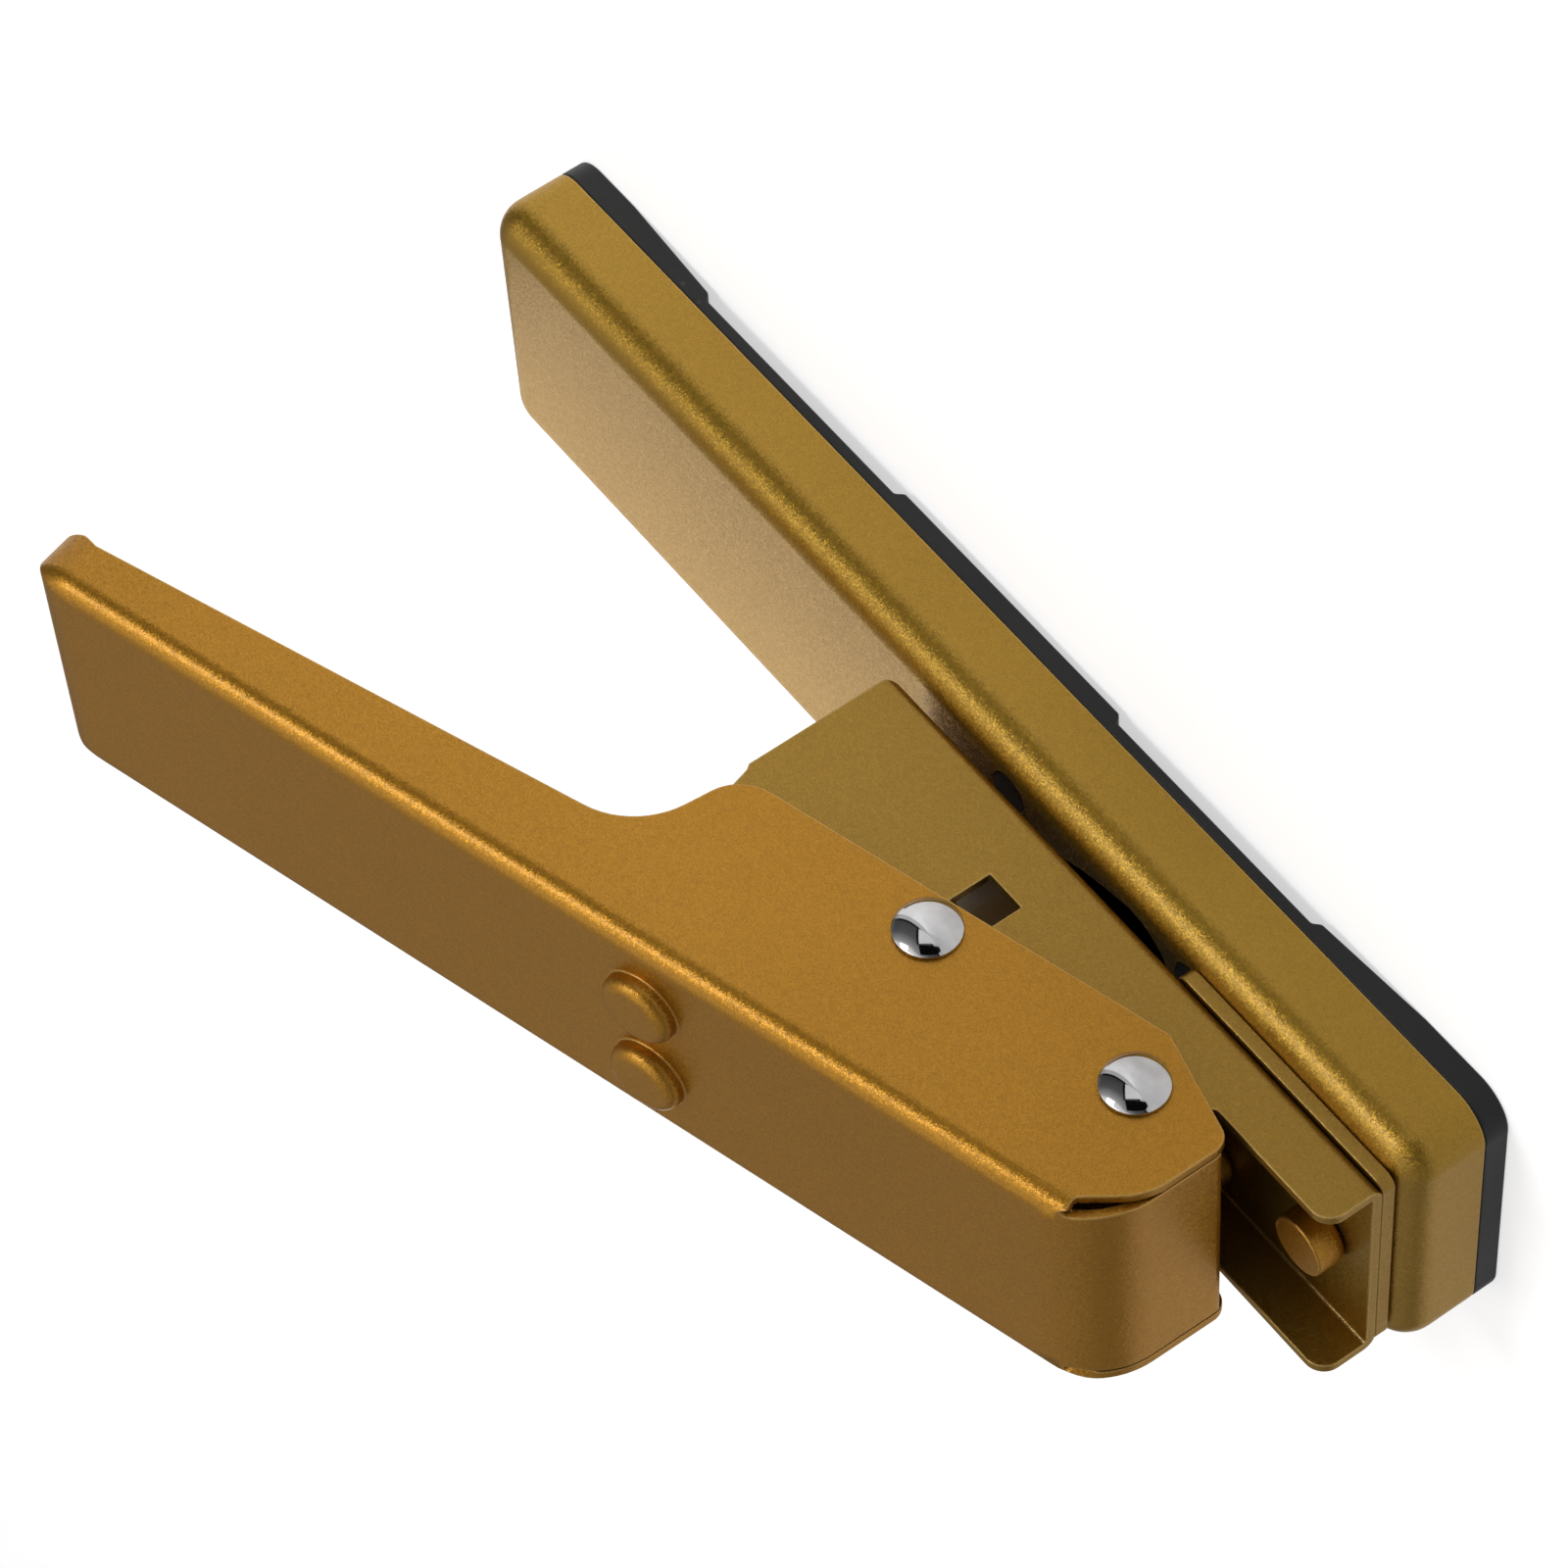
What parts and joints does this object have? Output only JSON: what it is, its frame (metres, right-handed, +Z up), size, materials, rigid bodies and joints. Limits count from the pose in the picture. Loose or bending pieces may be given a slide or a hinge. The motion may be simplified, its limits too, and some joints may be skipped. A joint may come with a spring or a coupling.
{
  "type": "guitar pick punch",
  "caption": "Hand-squeezed punch that cuts guitar picks from plastic card, with a pressed metal lever on a flat base and a pull-off catch cover.",
  "frame": {"origin": "on the table, under the middle of the part's bounding box", "axes": "+X along the base from the nose to the rear end, +Y across to the far side, +Z up"},
  "size_m": [0.1604, 0.0368, 0.0785],
  "materials": {
    "gold_coat": "satin metallic gold-bronze coating",
    "black_cover": "fine satin moulded texture",
    "die_steel": "ground hardened steel",
    "black_screw": "black oxide",
    "plated_steel": "dull zinc plating",
    "bright_chrome": "polished",
    "sleeve_steel": "turned, lightly oiled",
    "spring_steel": "bright drawn wire"
  },
  "bodies": {
    "base": {"base_tray": "gold_coat", "throat_plate": "gold_coat", "frame": "gold_coat", "nose_rivet": "gold_coat", "frame_rivets": "gold_coat", "die_plate": "die_steel", "die_screws": "black_screw", "pivot_post": "bright_chrome", "pivot_cap": "bright_chrome", "pivot_sleeve": "sleeve_steel", "spring_near": "spring_steel", "spring_far": "spring_steel"},
    "lever": {"handle": "gold_coat", "drive_post": "bright_chrome", "drive_cap": "bright_chrome", "drive_sleeve": "sleeve_steel"},
    "cutter": {"punch": "die_steel", "punch_carrier": "plated_steel", "carrier_rivets": "plated_steel"},
    "cover": {"base_cover": "black_cover"}
  },
  "joints": [
    {"name": "handle_hinge", "type": "hinge", "parent": "base", "child": "lever", "pos_m": [-0.0545, 0, 0.027], "axis": [0, 1, 0], "range_deg": [0, 15.5], "stiffness_Nm_per_rad": 13, "springref_deg": -3.44, "deforming": ["spring_near", "spring_far"]},
    {"name": "punch_slide", "type": "slide", "parent": "base", "child": "cutter", "axis": [0, 0, -1], "range_m": [0, 0.0076]},
    {"name": "cover_slide", "type": "slide", "parent": "base", "child": "cover", "axis": [0, 0, -1], "range_m": [0, 0.012]}
  ],
  "couplings": [
    {"joint": "punch_slide", "follows": "handle_hinge", "m_per_rad": 0.028028}
  ]
}
